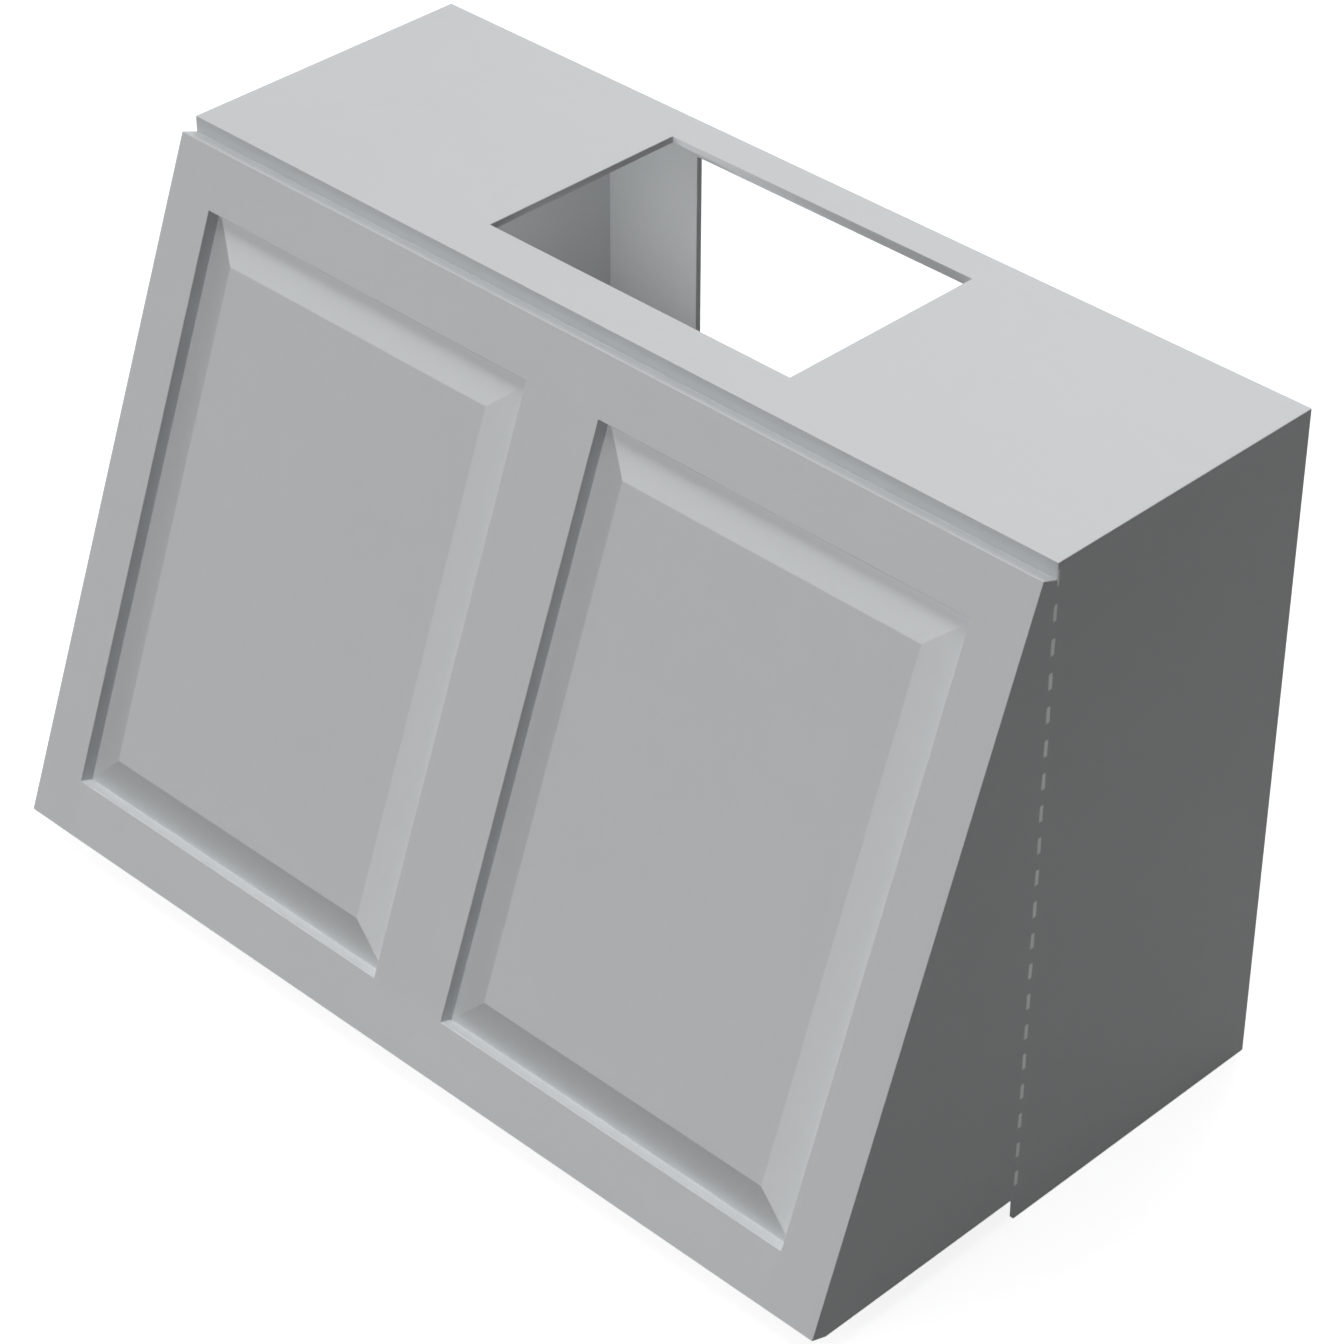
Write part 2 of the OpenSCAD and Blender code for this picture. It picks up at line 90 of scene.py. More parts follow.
# ---------------------------------------------------------------- node helpers
class Nodes:
    """A short way to write the node tree of a material or a world."""

    def __init__(self, owner):
        owner.use_nodes = True
        self.owner = owner
        self.tree = owner.node_tree
        self.tree.nodes.clear()

    def node(self, kind, settings=None, **inputs):
        made = self.tree.nodes.new("ShaderNode" + kind)
        for key, value in (settings or {}).items():
            setattr(made, key, value)
        for key, value in inputs.items():
            self.put(made.inputs[key.replace("_", " ")], value)
        return made

    def put(self, socket, value):
        if isinstance(value, bpy.types.NodeSocket):
            self.tree.links.new(value, socket)
        else:
            socket.default_value = value

    def mapped(self, source, rotation=(0, 0, 0), scale=(1, 1, 1), place=(0, 0, 0)):
        return self.node("Mapping", Vector=source, Rotation=rotation, Scale=scale,
                         Location=place).outputs[0]

    def stretched(self, board, share):
        """Coordinates that change by that share only along the board."""
        return self.mapped(board, scale=(share, 1, 1))

    def noise(self, source, scale, detail=2.0, roughness=0.5, distortion=0.0):
        return self.node("TexNoise", Vector=source, Scale=scale, Detail=detail,
                         Roughness=roughness, Distortion=distortion).outputs["Fac"]

    def maths(self, operation, a, b=None, c=None, clamp=False):
        made = self.tree.nodes.new("ShaderNodeMath")
        made.operation = operation
        made.use_clamp = clamp
        for socket, value in zip(made.inputs, (a, b, c)):
            if value is not None:
                self.put(socket, value)
        return made.outputs[0]

    def span(self, value, low, high, to_low=0.0, to_high=1.0, smooth=False):
        made = self.node("MapRange", {"interpolation_type": "SMOOTHSTEP" if smooth else "LINEAR"})
        for key, v in (("Value", value), ("From Min", low), ("From Max", high),
                       ("To Min", to_low), ("To Max", to_high)):
            self.put(made.inputs[key], v)
        return made.outputs[0]

    def mix(self, share, a, b):
        made = self.node("Mix", {"data_type": "RGBA"})
        self.put(made.inputs[0], share)
        self.put(made.inputs[6], a)
        self.put(made.inputs[7], b)
        return made.outputs[2]

    def bump(self, height, distance):
        return self.node("Bump", Strength=1.0, Distance=distance, Height=height).outputs[0]

    def blend(self, share, a, b):
        """A shader between two others."""
        made = self.node("MixShader")
        for socket, value in zip(made.inputs, (share, a.outputs[0], b.outputs[0])):
            self.put(socket, value)
        return made

    def surface(self, **inputs):
        shader = self.node("BsdfPrincipled", **inputs)
        self.node("OutputMaterial", Surface=shader.outputs[0])
        return self.owner


def material_nodes(name):
    return Nodes(bpy.data.materials.new(name))


def colour(*rgb):
    return (*rgb, 1.0)


def grey(value):
    return colour(value, value, value)


# ---------------------------------------------------------------- materials
# How each run of a board turns the frame's axes, so that the first one lies along the board
RUNS = {
    "across": (0.0, 0.0, 0.0),
    "upright": (0.0, math.pi / 2, 0.0),
    "slope": (SLOPE, math.pi / 2, 0.0),
}
PAINT = (0.607, 0.626, 0.635)
# The specular levels of the matt paint and of the pale dashes painted into it as a highlight of the
# side's joint
MATT = 0.25
SATIN = 1.0
# The pale colour painted in dashes along a side's joint: a painted highlight of the seam
HIGHLIGHT_PALE = (0.95, 0.95, 0.945)
DASH_STEP = 29.2 * MM
DASH_WIDTH = 4.4 * MM
# How near to the side's face and how far above the wedge's foot the dashes are
SIDE_SKIN = 0.2 * MM
DASH_CLEAR = 2 * MM
# Growth rings lie two pi times this far apart
PINE_RING = 4.2 * MM
BEECH_RING = 2.5 * MM
# The phase in radians that a texture of rings has at one unit from its axis, at scale 1
RINGS_PHASE = 20
PINE_PALE, PINE_DARK = (0.66, 0.46, 0.27), (0.43, 0.25, 0.12)
FIRST_PINE_SEED = 11
BEECH_PALE, BEECH_DARK = (0.7, 0.5, 0.32), (0.55, 0.36, 0.21)
BEECH_SEED = 71


def shade(rgb, share):
    return colour(*[c * share for c in rgb])


def painted_highlight_dashes(n, spot):
    """1 where pale dashes are painted along the joint between a side and its return, in short
    lengths: a painted highlight of the seam.
    """
    apart = n.node("SeparateXYZ", Vector=spot)
    x, y, z = (apart.outputs[axis] for axis in "XYZ")
    waver = n.maths("MULTIPLY", n.maths("SUBTRACT", n.noise(spot, 90.0, 3.0), 0.5), 1.2 * MM)
    off_joint = n.maths("ABSOLUTE", n.maths("ADD", n.maths("SUBTRACT", y, BOX_FRONT_Y), waver))
    across = n.span(off_joint, DASH_WIDTH * 0.2, DASH_WIDTH * 0.65, 1.0, 0.0, smooth=True)
    start = n.maths("ADD", z, n.maths("MULTIPLY", n.noise(spot, 21.0, 1.0), 3.0 * MM))
    phase = n.maths("FRACT", n.maths("DIVIDE", start, DASH_STEP))
    stroke = n.maths("ABSOLUTE", n.maths("SUBTRACT", phase, 0.5))
    along = n.span(stroke, 0.22, 0.27, 1.0, 0.0, smooth=True)
    outside = n.maths("GREATER_THAN", n.maths("ABSOLUTE", x), HALF_WIDTH - SIDE_SKIN)
    beside = n.maths("GREATER_THAN", z, WEDGE_FOOT + DASH_CLEAR)
    return n.maths("MULTIPLY", n.maths("MULTIPLY", across, along),
                   n.maths("MULTIPLY", outside, beside))


def paint(run, arris=False, seam_highlight=False):
    """Matt light grey paint, brushed out along the board. On an arris it has rubbed thin."""
    kind = ("arris_" if arris else "") + ("seam_highlight_" if seam_highlight else "")
    n = material_nodes("paint_" + kind + run)
    spot = n.node("TexCoord").outputs["Object"]
    board = n.mapped(spot, RUNS[run])
    streaks = n.noise(n.stretched(board, 0.035), 780.0, 4.0, 0.62)
    grain = n.noise(n.stretched(board, 0.06), 150.0, 3.0, 0.55, 0.35)
    peel = n.noise(spot, 330.0, 2.0, 0.5)
    clouds = n.noise(spot, 3.1, 3.0, 0.5)
    patches = n.noise(spot, 22.0, 3.0, 0.6)
    tone = n.span(clouds, 0.3, 0.7, -0.5, 0.5)
    for cause, most in ((streaks, 0.35), (patches, 0.25)):
        tone = n.maths("ADD", tone, n.span(cause, 0.3, 0.7, -most, most))
    tone = n.maths("ADD", n.maths("MULTIPLY", tone, 0.5), 0.5, clamp=True)
    coat = n.mix(tone, shade(PAINT, 0.975), shade(PAINT, 1.025))
    rough = n.span(tone, 0.0, 1.0, 0.39, 0.45)
    if arris:
        rubbed = n.span(n.noise(spot, 38.0, 4.0, 0.55), 0.5, 0.72, smooth=True)
        coat = n.mix(n.maths("MULTIPLY", rubbed, 0.5), coat, shade(PAINT, 0.9))
        rough = n.maths("SUBTRACT", rough, n.maths("MULTIPLY", rubbed, 0.06))
    gloss = MATT
    # Pale, glossier dashes painted along a side's joint: a painted highlight of the seam
    if seam_highlight:
        shown = painted_highlight_dashes(n, spot)
        coat = n.mix(shown, coat, colour(*HIGHLIGHT_PALE))
        rough = n.maths("SUBTRACT", rough, n.maths("MULTIPLY", shown, 0.1))
        gloss = n.maths("MULTIPLY_ADD", shown, SATIN - MATT, MATT)
    height = n.maths("ADD", n.maths("MULTIPLY", streaks, 0.55), n.maths("MULTIPLY", peel, 0.3))
    height = n.maths("ADD", height, n.maths("MULTIPLY", grain, 0.35))
    return n.surface(Base_Color=coat, Roughness=rough, Specular_IOR_Level=gloss,
                     Normal=n.bump(height, 0.06 * MM))


def wood(name, run, seed, pale, dark, ring, arris=False):
    """Planed bare wood: growth rings about a heart beside the board, and fine fibres."""
    n = material_nodes(name + ("_arris" if arris else ""))
    rng = random.Random(seed)
    spot = n.node("TexCoord").outputs["Object"]
    board = n.mapped(spot, RUNS[run])
    heart = (rng.uniform(-0.4, 0.4), rng.uniform(0.05, 0.09), rng.uniform(0.04, 0.08))
    bent = n.node("VectorMath", {"operation": "ADD"})
    sway = n.node("TexNoise", Vector=n.stretched(board, 0.25), Scale=14.0, Detail=2.0)
    swing = n.node("VectorMath", {"operation": "MULTIPLY"})
    n.put(swing.inputs[0], sway.outputs["Color"])
    swing.inputs[1].default_value = (0.0, 0.012, 0.012)
    n.put(bent.inputs[0], n.mapped(board, place=heart))
    n.put(bent.inputs[1], swing.outputs[0])
    rings = n.node("TexWave", {"wave_type": "RINGS", "rings_direction": "X", "wave_profile": "SAW"},
                   Vector=bent.outputs[0], Scale=1 / (RINGS_PHASE * ring), Distortion=1.2,
                   Detail=2.0, Detail_Scale=1.0, Detail_Roughness=0.5).outputs["Fac"]
    late = n.span(rings, 0.45, 1.0, smooth=True)
    fibres = n.noise(n.stretched(board, 0.02), 1500.0, 3.0, 0.6)
    flow = n.noise(n.stretched(board, 0.08), 60.0, 3.0, 0.5)
    tone = n.maths("ADD", n.maths("MULTIPLY", late, 0.55), n.maths("MULTIPLY", fibres, 0.3))
    tone = n.maths("ADD", tone, n.maths("MULTIPLY", flow, 0.25), clamp=True)
    face = n.mix(tone, colour(*pale), colour(*dark))
    if arris:
        face = n.mix(0.2, face, shade(dark, 0.8))
    height = n.maths("ADD", n.maths("MULTIPLY", fibres, 0.6), n.maths("MULTIPLY", late, 0.4))
    return n.surface(Base_Color=face, Roughness=n.span(tone, 0.0, 1.0, 0.72, 0.6),
                     Normal=n.bump(height, 0.09 * MM))


def zinc():
    """Bright zinc plate with fine turning marks and a few dull spots."""
    n = material_nodes("zinc_plate")
    spot = n.node("TexCoord").outputs["Object"]
    fine = n.noise(spot, 2600.0, 3.0, 0.6)
    dull = n.span(n.noise(spot, 420.0, 3.0, 0.6), 0.45, 0.7, smooth=True)
    face = n.mix(dull, colour(0.74, 0.74, 0.72), colour(0.6, 0.61, 0.6))
    rough = n.maths("ADD", n.span(fine, 0.2, 0.8, 0.24, 0.36), n.maths("MULTIPLY", dull, 0.14))
    return n.surface(Base_Color=face, Metallic=1.0, Roughness=rough,
                     Normal=n.bump(fine, 0.01 * MM))


def rubber():
    """Matt dark rubber with a moulded skin."""
    n = material_nodes("spacer_rubber")
    spot = n.node("TexCoord").outputs["Object"]
    skin = n.noise(spot, 1400.0, 3.0, 0.6)
    face = n.mix(n.noise(spot, 180.0, 2.0), colour(0.035, 0.036, 0.038),
                 colour(0.06, 0.061, 0.063))
    return n.surface(Base_Color=face, Roughness=n.span(skin, 0.2, 0.8, 0.75, 0.9),
                     Normal=n.bump(skin, 0.03 * MM))


# ---------------------------------------------------------------- finished boards
# Which way each board runs
PAINTED = {
    "left_side_panel": "upright", "right_side_panel": "upright", "top_panel": "across",
    "bottom_panel": "across", "back_panel": "across", "left_partition": "upright",
    "right_partition": "upright", "front_top_rail": "across", "front_bottom_rail": "across",
    "front_left_stile": "upright", "front_right_stile": "upright", "left_return": "upright",
    "right_return": "upright", "soffit": "across", "fascia_left_stile": "slope",
    "fascia_right_stile": "slope", "fascia_mullion": "slope", "fascia_top_rail": "across",
    "fascia_bottom_rail": "across", "left_raised_panel": "slope", "right_raised_panel": "slope",
}
UNPAINTED = {
    "left_hanging_rail": "across", "right_hanging_rail": "across", "lower_hanging_rail": "across",
    "soffit_cleat": "across", "left_mounting_cleat": "upright", "right_mounting_cleat": "upright",
    "left_fascia_cleat": "slope", "right_fascia_cleat": "slope", "glue_block_row": "across",
}
# Joints that are filled and sanded flush, along which pale dashes are painted as a highlight of the
# seam
FLUSH_PAIRS = ({"left_side_panel", "left_return"}, {"right_side_panel", "right_return"})
# How far an arris is eased, the share of it at a glued joint, and in how many steps
ARRIS = 0.6 * MM
HAIRLINE_SHARE = 0.12
ARRIS_STEPS = 3
# The least angle and length that make an edge an arris, and the least length that is split
ARRIS_ANGLE = math.radians(10)
SHORTEST_ARRIS = 0.5 * MM
SHORTEST_SPLIT = 4 * MM
# An edge stays sharp above these angles
SHARP_ON_ARRIS = math.radians(40)
SHARP_ON_FACE = math.radians(13)
# Corners this near are one, and faces this near to parallel are one
WELD = 0.002 * MM
FLAT = math.radians(0.4)
# Faces touch when this near and this much opposed. They are felt this far in from an edge.
TOUCH = 0.12 * MM
OPPOSED = -0.9
INTO_FACE = 1.2 * MM
# How often an arris is felt along its length, and how often a find is halved
PROBE_STEP = 4 * MM
FEWEST_PROBES, MOST_PROBES = 4, 80
HALVINGS = 9


def welded(node):
    """A CAD node as one mesh with joined corners and whole flat faces."""
    mesh = NODES[node].data.copy()
    if "custom_normal" in mesh.attributes:
        mesh.attributes.remove(mesh.attributes["custom_normal"])
    bm = bmesh.new()
    bm.from_mesh(mesh)
    bpy.data.meshes.remove(mesh)
    bmesh.ops.remove_doubles(bm, verts=bm.verts, dist=WELD)
    bmesh.ops.dissolve_limit(bm, angle_limit=FLAT, verts=bm.verts, edges=bm.edges)
    bmesh.ops.recalc_face_normals(bm, faces=bm.faces)
    return bm


def as_mesh(name, bm):
    mesh = bpy.data.meshes.new(name)
    bm.to_mesh(mesh)
    bm.free()
    return mesh


class Touching:
    """Tells where a board's faces lie against its neighbours."""

    def __init__(self, names):
        self.trees, self.boxes = {}, {}
        for name in names:
            bm = welded(name)
            self.trees[name] = BVHTree.FromBMesh(bm)
            self.boxes[name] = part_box(name)
            bm.free()

    def near(self, node):
        low, high = self.boxes[node]
        return [name for name, (a, b) in self.boxes.items() if name != node
                and all(a[i] - TOUCH <= high[i] and b[i] + TOUCH >= low[i] for i in range(3))]

    def at(self, others, edge, share):
        """The board that lies on a face beside the edge, at that share of its length."""
        start, end = (v.co for v in edge.verts)
        along = (end - start).normalized()
        spot = start.lerp(end, share)
        for loop in edge.link_loops:
            inwards = loop.face.normal.cross(along)
            if loop.vert is not edge.verts[0]:
                inwards = -inwards
            probe = spot + inwards * INTO_FACE
            for name in others:
                hit = self.trees[name].find_nearest(probe, TOUCH)
                if hit[0] is not None and hit[1].dot(loop.face.normal) < OPPOSED:
                    return name
        return None


def is_arris(edge, shortest):
    return (edge.is_manifold and edge.is_convex and edge.calc_length() >= shortest
            and edge.calc_face_angle(0.0) > ARRIS_ANGLE)


def split_where_covered(bm, edge, touching, others):
    """Cuts an arris where a neighbour's cover of it starts or ends."""
    length = edge.calc_length()
    steps = max(FEWEST_PROBES, min(MOST_PROBES, int(length / PROBE_STEP)))
    shares = [(i + 0.5) / steps for i in range(steps)]
    found = [touching.at(others, edge, s) is not None for s in shares]
    cuts = []
    for a, b, on_a, on_b in zip(shares, shares[1:], found, found[1:]):
        if on_a == on_b:
            continue
        for _ in range(HALVINGS):
            mid = (a + b) / 2
            if (touching.at(others, edge, mid) is not None) == on_a:
                a = mid
            else:
                b = mid
        cuts.append((a + b) / 2)
    pad = ARRIS / length
    places = sorted(s for cut in cuts for s in (cut - pad, cut + pad) if pad < s < 1 - pad)
    first, last = edge.verts
    whole = (last.co - first.co).length
    for s in reversed(places):
        share = s * whole / (last.co - first.co).length
        _, last = bmesh.utils.edge_split(edge, first, share)
        edge = next(e for e in last.link_edges if first in e.verts)


def finished_mesh(node, touching):
    """The board with its arrises marked, less at a glued joint than where it stands free."""
    bm = welded(node)
    others = touching.near(node)
    for edge in [e for e in bm.edges if is_arris(e, SHORTEST_SPLIT)]:
        split_where_covered(bm, edge, touching, others)
    weight = bm.edges.layers.float.new("bevel_weight_edge")
    for edge in bm.edges:
        if is_arris(edge, SHORTEST_ARRIS):
            cover = touching.at(others, edge, 0.5)
            if cover is None:
                edge[weight] = 1.0
            elif {node, cover} not in FLUSH_PAIRS:
                edge[weight] = HAIRLINE_SHARE
    return as_mesh(node, bm)


def baked(piece):
    """Replaces a piece's mesh by the one that its modifiers make."""
    bpy.context.view_layer.update()
    shown = piece.evaluated_get(bpy.context.evaluated_depsgraph_get())
    mesh = bpy.data.meshes.new_from_object(shown)
    piece.modifiers.clear()
    piece.data = mesh


def link(name, mesh, *materials):
    piece = bpy.data.objects.new(name, mesh)
    bpy.context.scene.collection.objects.link(piece)
    for material in materials:
        mesh.materials.append(material)
    return piece


def ease(piece):
    """Rounds the marked arrises, which take the second material, and keeps the faces flat."""
    bevel = piece.modifiers.new("arris", "BEVEL")
    bevel.limit_method = "WEIGHT"
    bevel.width = ARRIS
    bevel.segments = ARRIS_STEPS
    bevel.use_clamp_overlap = False
    bevel.material = 1
    baked(piece)
    mesh = piece.data
    mesh.shade_smooth()
    sharp = (mesh.attributes.get("sharp_edge")
             or mesh.attributes.new("sharp_edge", "BOOLEAN", "EDGE"))
    bm = bmesh.new()
    bm.from_mesh(mesh)
    flags = []
    for edge in bm.edges:
        arris = any(f.material_index == 1 for f in edge.link_faces)
        limit = SHARP_ON_ARRIS if arris else SHARP_ON_FACE
        flags.append(not edge.is_manifold or edge.calc_face_angle(0.0) > limit)
    bm.free()
    sharp.data.foreach_set("value", flags)
    weighted = piece.modifiers.new("weighted", "WEIGHTED_NORMAL")
    weighted.keep_sharp = True
    baked(piece)


def stand_for(piece, node):
    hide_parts(node)
    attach(piece, "root")


def make_board(node, touching, materials):
    piece = link(node + "_finished", finished_mesh(node, touching), *materials)
    ease(piece)
    stand_for(piece, node)


def make_boards():
    touching = Touching([*PAINTED, *UNPAINTED])
    on_arris = (False, True)
    coats = {run: [paint(run, arris) for arris in on_arris]
             for run in sorted(set(PAINTED.values()))}
    # The boards at the side joints take the paint with the painted highlight dashes
    highlight_coats = [paint("upright", arris, seam_highlight=True) for arris in on_arris]
    flush = {node for pair in FLUSH_PAIRS for node in pair}
    for node, run in PAINTED.items():
        make_board(node, touching, highlight_coats if node in flush else coats[run])
    for seed, (node, run) in enumerate(UNPAINTED.items(), FIRST_PINE_SEED):
        pine = [wood("pine_" + node, run, seed, PINE_PALE, PINE_DARK, PINE_RING, arris)
                for arris in on_arris]
        make_board(node, touching, pine)


# ---------------------------------------------------------------- screws, dowels and spacers
SCREW_SIDES = 32
# The head's top, its cross recess and where its cone starts, as shares of the head's radius
RIM, RIM_DEPTH = 0.97, 0.03
RECESS_REACH, RECESS_HALF, RECESS_DEPTH = 0.58, 0.13, 0.5
# A recess arm's width at its tip, as a share of that at its root
ARM_TIP = 0.8
# The recess's floor, as shares of its mouth
BASE_REACH, BASE_HALF = 0.42, 0.55
# The plain part's radius, the thread's core, its pitch and the point's length, as shares of the
# shank's radius, and where the thread starts, as a share of the length
PLAIN, CORE, PITCH, POINT = 0.94, 0.74, 0.8, 2.2
THREAD_START = 0.36
# The rings of corners in one turn of thread, and half a crest's width as a share of the pitch
THREAD_STEPS = 4
CREST_HALF = 0.3
# The point's least radius as a share of the thread's, and where thread and point end
POINT_LEAST = 0.08
THREAD_END, POINT_END = 0.3 * MM, 0.05 * MM
FLUTES = 16
# One flute's corners, by their share of its turn and of the radius
FLUTE = ((0.0, 1.0), (0.5, 1.0), (0.62, 0.93), (0.88, 0.93))
# How long a dowel's chamfer is and what its end measures, as shares of the radius
CHAMFER, DOWEL_END = 0.28, 0.82
FIXING_SHARP = math.radians(32)
SPACER_ROUND = 0.7 * MM


def islands(node):
    """The points of each separate solid in a node."""
    bm = welded(node)
    seen, groups = set(), []
    for vert in bm.verts:
        if vert in seen:
            continue
        stack, group = [vert], []
        seen.add(vert)
        while stack:
            v = stack.pop()
            group.append(v.co.copy())
            for edge in v.link_edges:
                other = edge.other_vert(v)
                if other not in seen:
                    seen.add(other)
                    stack.append(other)
        groups.append(group)
    bm.free()
    return groups


def turned_places(node, axis):
    """Each solid's start on its own axis, and its length along that axis."""
    axis = Vector(axis).normalized()
    side = axis.orthogonal().normalized()
    other = axis.cross(side)
    found = []
    for group in islands(node):
        lengths = [p.dot(axis) for p in group]
        a = [p.dot(side) for p in group]
        b = [p.dot(other) for p in group]
        middle = side * (min(a) + max(a)) / 2 + other * (min(b) + max(b)) / 2
        found.append((middle + axis * min(lengths), max(lengths) - min(lengths)))
    return found


def on_axis(axis, place):
    return Matrix.Translation(place) @ Vector(axis).to_track_quat("Z", "Y").to_matrix().to_4x4()


def circle(radius):
    turns = [2 * math.pi * i / SCREW_SIDES for i in range(SCREW_SIDES)]
    return [(math.cos(t) * radius, math.sin(t) * radius) for t in turns]


def cross_outline(reach, half):
    """A cross recess's outline, its arms a little narrower at their tips."""
    tip = half * ARM_TIP
    return [Matrix.Rotation(quarter * math.pi / 2, 2) @ Vector(corner) for quarter in range(4)
            for corner in ((reach, -tip), (reach, tip), (half, half))]


def bridge(bm, low, high):
    """Faces between two rings of as many corners."""
    for i in range(len(low)):
        j = (i + 1) % len(low)
        bm.faces.new((low[i], low[j], high[j], high[i]))


def screw_mesh(bm, matrix, length, spin, shank, head):
    """A countersunk screw with a cross recess and a rolled thread, its head's top at the origin."""
    turned = matrix @ Matrix.Rotation(spin, 4, "Z")

    def ring(points, z):
        return [bm.verts.new(turned @ Vector((x, y, z))) for x, y in points]

    # The flat top about the recess
    reach, half = head * RECESS_REACH, head * RECESS_HALF
    rim, mouth = [Vector(p) for p in circle(head * RIM)], cross_outline(reach, half)
    edges = [(i, (i + 1) % len(rim)) for i in range(len(rim))]
    edges += [(len(rim) + i, len(rim) + (i + 1) % len(mouth)) for i in range(len(mouth))]
    points, _, faces, _, _, _ = delaunay_2d_cdt(rim + mouth, edges, [], 0, 1e-9)
    top = ring(points[:len(rim) + len(mouth)], 0.0)
    for face in faces:
        middle = sum((points[i] for i in face), Vector((0, 0))) / len(face)
        x, y = abs(middle.x), abs(middle.y)
        if min(x, y) >= half or max(x, y) >= reach:
            bm.faces.new([top[i] for i in reversed(face)])
    base = ring(cross_outline(reach * BASE_REACH, half * BASE_HALF), head * RECESS_DEPTH)
    bridge(bm, top[len(rim):], base)
    bm.faces.new(list(reversed(base)))
    # The cone and the plain shank
    last = top[:len(rim)]
    z = length * THREAD_START
    for radius, depth in ((head, head * RIM_DEPTH), (shank * PLAIN, head - shank),
                          (shank * PLAIN, z)):
        made = ring(circle(radius), depth)
        bridge(bm, last, made)
        last = made
    # The thread, down to the point
    pitch, core = shank * PITCH, shank * CORE
    step = pitch / THREAD_STEPS
    taper = length - shank * POINT
    while z + step < length - THREAD_END:
        z += step
        fade = 1.0 if z < taper else max(POINT_LEAST, (length - z) / (length - taper))
        turn_points = []
        for i, (x, y) in enumerate(circle(1.0)):
            phase = (z / pitch - i / SCREW_SIDES) % 1.0
            crest = max(0.0, 1.0 - abs(phase - 0.5) / CREST_HALF)
            radius = (core + (shank - core) * crest) * fade
            turn_points.append((x * radius, y * radius))
        made = ring(turn_points, z)
        bridge(bm, last, made)
        last = made
    tip, = ring([(0, 0)], length - POINT_END)
    for i in range(SCREW_SIDES):
        bm.faces.new((last[i], last[(i + 1) % SCREW_SIDES], tip))


def dowel_mesh(bm, matrix, length, spin, radius):
    """A fluted dowel with chamfered ends."""
    profile = []
    for i in range(FLUTES):
        for share, depth in FLUTE:
            t = 2 * math.pi * (i + share) / FLUTES + spin
            profile.append((math.cos(t) * depth, math.sin(t) * depth))
    chamfer = radius * CHAMFER
    rings = []
    for z, r in ((0.0, radius * DOWEL_END), (chamfer, radius), (length - chamfer, radius),
                 (length, radius * DOWEL_END)):
        rings.append([bm.verts.new(matrix @ Vector((x * r, y * r, z))) for x, y in profile])
    for low, high in zip(rings, rings[1:]):
        bridge(bm, low, high)
    bm.faces.new(list(reversed(rings[0])))
    bm.faces.new(rings[-1])


def spread(node, name, material, axis, build, sizes):
    """One piece for all the fasteners of a node, each built where the CAD has it."""
    bm = bmesh.new()
    # Each set turns its fasteners in its own way
    rng = random.Random(len(node) * 7 + 3)
    for place, length in turned_places(node, axis):
        build(bm, on_axis(axis, place), length, rng.uniform(0, 2 * math.pi), **sizes)
    bmesh.ops.recalc_face_normals(bm, faces=bm.faces)
    mesh = as_mesh(name, bm)
    mesh.shade_smooth()
    mesh.set_sharp_from_angle(angle=FIXING_SHARP)
    stand_for(link(name, mesh, material), node)


def make_fixings():
    into_fascia = (0, -math.cos(SLOPE), math.sin(SLOPE))
    plate = zinc()
    for node, axis, sizes in (("partition_screws", (0, 0, 1), FIXING_SCREW),
                              ("wedge_screws", (0, -1, 0), FIXING_SCREW),
                              ("fascia_screws", into_fascia, FIXING_SCREW),
                              ("back_panel_screws", (0, -1, 0), BACK_SCREW)):
        spread(node, node + "_cross_head", plate, axis, screw_mesh, sizes)
    beech = wood("beech_dowels", "across", BEECH_SEED, BEECH_PALE, BEECH_DARK, BEECH_RING)
    for node, axis in (("rail_dowels", (-1, 0, 0)), ("return_dowels", (0, 1, 0))):
        spread(node, node + "_fluted", beech, axis, dowel_mesh, DOWEL)


def make_spacers():
    """Soft rubber spacers, rounded at every edge, pinched in the panel grooves."""
    bm = bmesh.new()
    turn = Matrix.Rotation(-SLOPE, 3, "X")
    for group in islands("panel_spacers"):
        local = [turn.inverted() @ p for p in group]
        low = Vector([min(p[i] for p in local) for i in range(3)])
        high = Vector([max(p[i] for p in local) for i in range(3)])
        made = bmesh.ops.create_cube(bm, size=1.0)["verts"]
        edges = list({e for v in made for e in v.link_edges})
        for v in made:
            v.co = turn @ Vector([low[i] + (v.co[i] + 0.5) * (high[i] - low[i]) for i in range(3)])
        bmesh.ops.bevel(bm, geom=edges, offset=SPACER_ROUND, segments=4, profile=0.5,
                        affect="EDGES", clamp_overlap=True)
    mesh = as_mesh("panel_spacers_rounded", bm)
    mesh.shade_smooth()
    piece = link("panel_spacers_rounded", mesh, rubber())
    stand_for(piece, "panel_spacers")


# ---------------------------------------------------------------- floor, world and lamps
FLOOR_HALF = 8.0
FLOOR_DROP = 0.3 * MM
# The floor as the camera sees it, and what it sends back to the part
FLOOR_TONE, FLOOR_GLOW, FLOOR_BOUNCE = 0.5, 0.72, 0.18
AMBIENT = 0.03
BACKGROUND = 1.0


def background_share(n):
    """1 for rays that show the background to the camera, also by gloss or through glass."""
    path = n.node("LightPath")
    seen = n.maths("MAXIMUM", path.outputs["Is Camera Ray"], path.outputs["Is Glossy Ray"])
    return n.maths("MAXIMUM", seen, path.outputs["Is Transmission Ray"])


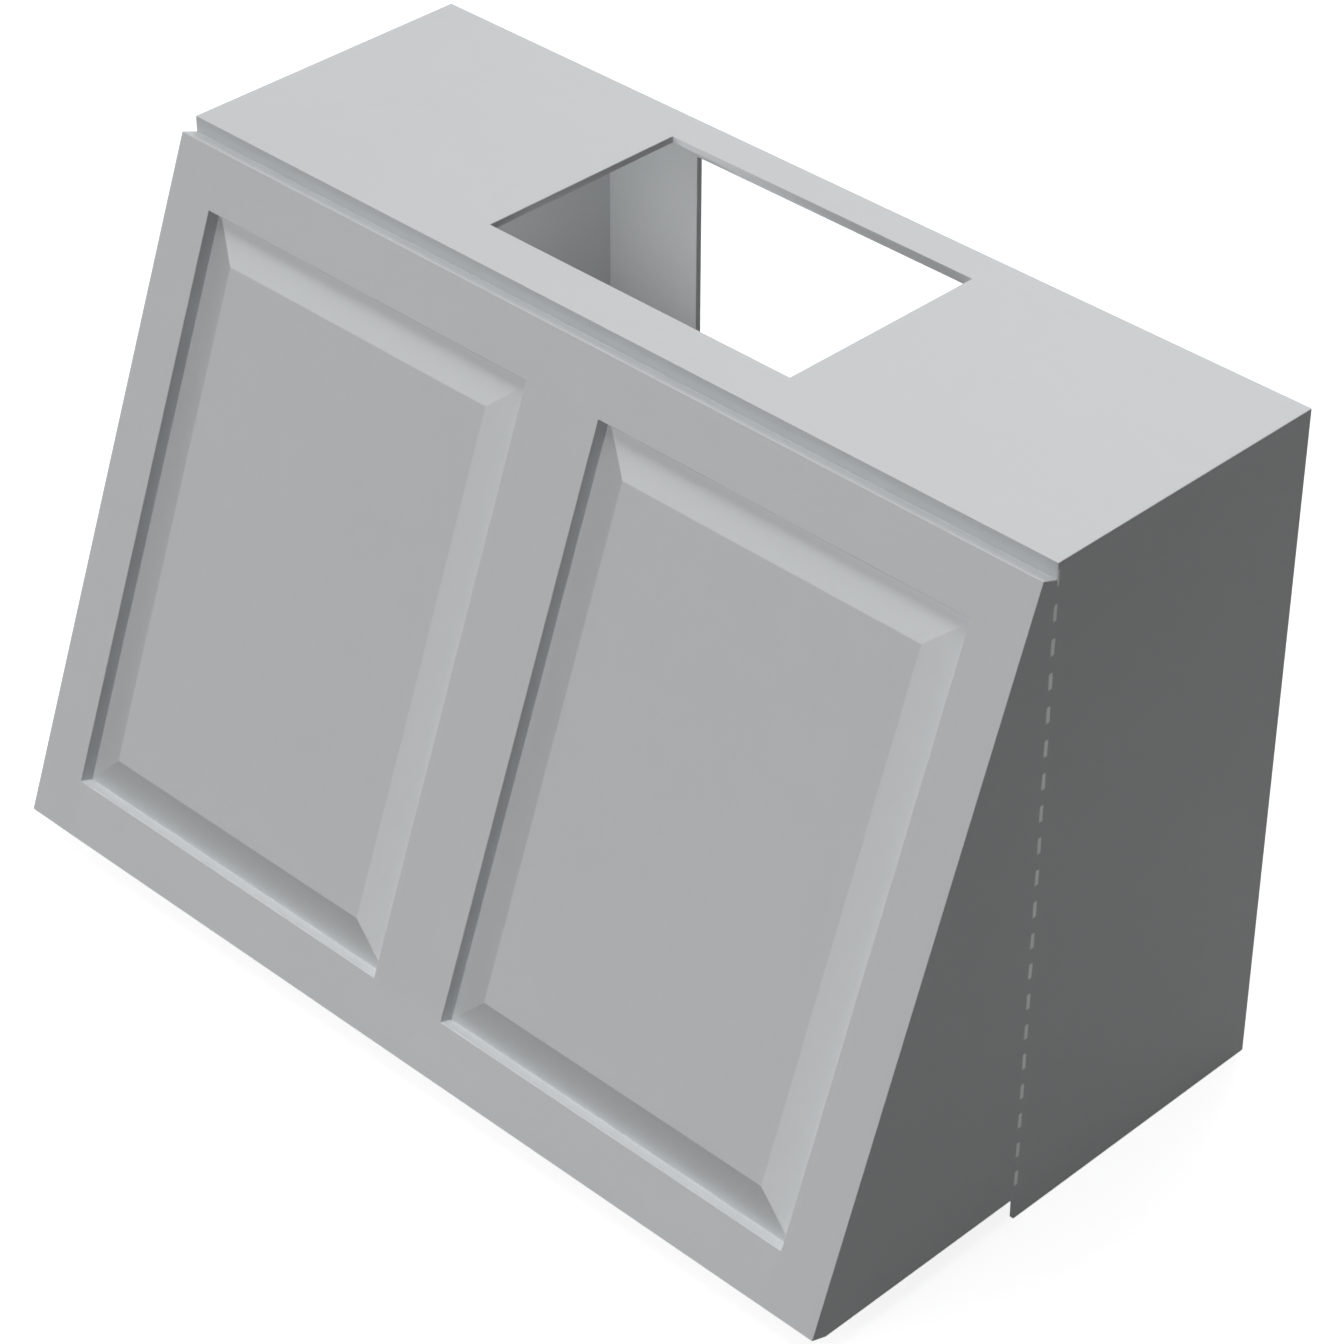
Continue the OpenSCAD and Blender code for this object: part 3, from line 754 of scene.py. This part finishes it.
def make_floor():
    h = FLOOR_HALF
    mesh = bpy.data.meshes.new("studio_floor")
    mesh.from_pydata([(x, y, -FLOOR_DROP) for x, y in ((-h, -h), (h, -h), (h, h), (-h, h))],
                     [], [(0, 1, 2, 3)])
    n = material_nodes("studio_floor")
    lit = n.node("AddShader")
    n.put(lit.inputs[0], n.node("BsdfDiffuse", Color=grey(FLOOR_TONE)).outputs[0])
    n.put(lit.inputs[1], n.node("Emission", Color=grey(1), Strength=FLOOR_GLOW).outputs[0])
    bounce = n.node("BsdfDiffuse", Color=grey(FLOOR_BOUNCE))
    upper = n.blend(background_share(n), bounce, lit)
    # Nothing from below, so that the part can be looked at from there
    backs = n.node("NewGeometry").outputs["Backfacing"]
    both = n.blend(backs, upper, n.node("BsdfTransparent"))
    n.node("OutputMaterial", Surface=both.outputs[0])
    floor = link("studio_floor", mesh, n.owner)


def make_world():
    world = bpy.data.worlds.new("studio")
    bpy.context.scene.world = world
    n = Nodes(world)
    light = n.node("Background", Color=grey(1), Strength=AMBIENT)
    white = n.node("Background", Color=grey(1), Strength=BACKGROUND)
    both = n.blend(background_share(n), light, white)
    n.node("OutputWorld", Surface=both.outputs[0])


# Each lamp: the bearing and the height in degrees that it shines from, its strength, whether it
# casts shadows and what it lights. The bearing is 0 in front and grows towards the right side.
# In the photo a face's direction alone tells how light it is, so the raised panels have a key
# lamp of their own, and one that shines down along the slope lights the bottom rail's upper edge.
LAMPS = {
    "lamp_front_left": (-30, 20, 0.32, True, "not the panels"),
    "lamp_panels": (70, 53, 0.82, False, "the panels"),
    "lamp_overhead": (0, 80, 0.18, True, "not the panels"),
    "lamp_overhead_fill": (0, 80, 0.32, False, "all"),
    "lamp_rim": (-150, 40, 0.24, True, "all"),
    "lamp_left": (-95, 12, 0.32, True, "all"),
    "lamp_lip": (180, 70, 0.22, False, "the bottom rail"),
}
LAMP_SOFTNESS = math.radians(30)
LAMP_DISTANCE = 4.0
PANELS = ("left_raised_panel_finished", "right_raised_panel_finished")
BOTTOM_RAIL = ("fascia_bottom_rail_finished",)
LIT = {
    "the panels": ("INCLUDE", PANELS),
    "not the panels": ("EXCLUDE", PANELS),
    "the bottom rail": ("INCLUDE", BOTTOM_RAIL),
}
# The lamp inside the box shines on the back panel, as light would through an open front
INNER_LAMP_PLACE = (-0.15, 0.0, 0.52)
INNER_LAMP_SIZE = (0.11, 0.14)
INNER_LAMP_SPREAD = math.radians(110)
INNER_LAMP_POWER = 0.108
INNER_LAMP_TURN = (math.radians(90), 0.0, 0.0)


def light_only(lamp, state, names):
    """Lets a lamp light some pieces alone, or all but them."""
    lit = bpy.data.collections.new(lamp.name + "_lights")
    for name in names:
        lit.objects.link(bpy.data.objects[name])
    for entry in lit.collection_objects:
        entry.light_linking.link_state = state
    lamp.light_linking.receiver_collection = lit


def make_lamps():
    for name, (bearing, height, strength, shadows, what) in LAMPS.items():
        a, e = math.radians(bearing), math.radians(height)
        side = Vector((math.sin(a) * math.cos(e), -math.cos(a) * math.cos(e), math.sin(e)))
        data = bpy.data.lights.new(name, "SUN")
        data.energy = strength * math.pi
        data.angle = LAMP_SOFTNESS
        data.use_shadow = shadows
        lamp = placed(name, data, side * LAMP_DISTANCE, side.to_track_quat("Z", "Y").to_euler())
        if what in LIT:
            light_only(lamp, *LIT[what])
    data = bpy.data.lights.new("lamp_inner", "AREA")
    data.shape = "RECTANGLE"
    data.size, data.size_y = INNER_LAMP_SIZE
    data.spread = INNER_LAMP_SPREAD
    data.energy = INNER_LAMP_POWER
    lamp = placed("lamp_inner", data, INNER_LAMP_PLACE, INNER_LAMP_TURN)
    lamp.visible_camera = False
    lamp.visible_glossy = False


make_camera()
make_boards()
make_fixings()
make_spacers()
make_floor()
make_world()
make_lamps()
bpy.context.scene.view_settings.view_transform = "Standard"
